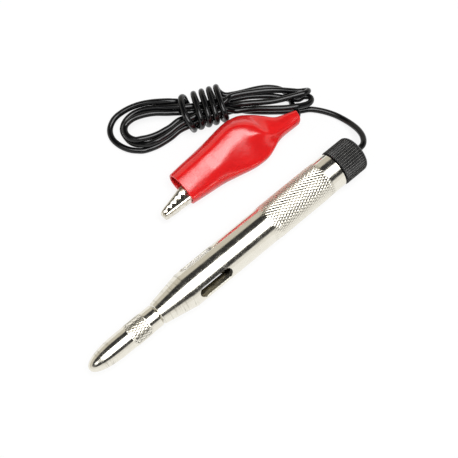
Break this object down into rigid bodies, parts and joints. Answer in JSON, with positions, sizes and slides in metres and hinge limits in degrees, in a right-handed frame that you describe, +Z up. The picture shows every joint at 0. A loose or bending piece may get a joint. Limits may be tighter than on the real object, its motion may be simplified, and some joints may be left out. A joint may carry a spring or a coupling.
{
  "type": "circuit test light",
  "caption": "Pen-shaped circuit test light with a knurled metal body, screw-on needle cap, bulb windows, wrapped cord and booted alligator clip.",
  "frame": {"origin": "on the table under the middle of the pen", "axes": "+X along the pen from its needle end to its cord end, +Y towards the clip and the wound cord, +Z up"},
  "size_m": [0.1173, 0.0696, 0.0124],
  "materials": {
    "nickel_plate": "polished nickel plate on brass or steel",
    "steel": "bright drawn steel",
    "brass": "turned brass",
    "copper": "bare stranded copper",
    "tungsten": "dull wire",
    "bulb_glass": "clear glass",
    "black_glass": "black fused glass insulator",
    "black_plastic": "moulded black plastic, satin",
    "cord_jacket": "smooth black vinyl jacket",
    "red_vinyl": "soft glossy red vinyl"
  },
  "bodies": {
    "tester": {"barrel": "nickel_plate", "probe_needle": "steel", "socket_sleeve": "brass", "bulb_base": "brass", "bulb_glass": "bulb_glass", "bulb_bead": "bulb_glass", "bulb_filament": "tungsten", "bulb_insulator": "black_glass", "bulb_contact": "steel", "contact_spring": "steel", "wire_terminal": "brass", "fixed_jaw": "nickel_plate", "clip_rivet": "nickel_plate", "clip_spring": "steel", "clip_screw": "steel", "clip_boot": "red_vinyl", "lead_cord": "cord_jacket", "tail_cord": "cord_jacket", "wire_strands": "copper", "cord_hank": "cord_jacket"},
    "tip_cap": {"tip_cap": "nickel_plate"},
    "end_cap": {"end_cap": "black_plastic"},
    "moving_jaw": {"moving_jaw": "nickel_plate"}
  },
  "joints": [
    {"name": "tip_cap_slide", "type": "slide", "parent": "tester", "child": "tip_cap", "axis": [-1, 0, 0], "range_m": [0, 0.03]},
    {"name": "end_cap_turn", "type": "hinge", "parent": "tester", "child": "end_cap", "pos_m": [0.05, 0, 0.0062], "axis": [1, 0, 0], "range_deg": [0, 360]},
    {"name": "jaw_hinge", "type": "hinge", "parent": "tester", "child": "moving_jaw", "pos_m": [0.0121, 0.02574, 0.0046], "axis": [0, 0, -1], "range_deg": [0, 18], "stiffness_Nm_per_rad": 0.05, "springref_deg": -68.75, "deforming": ["clip_spring", "clip_boot"]}
  ]
}
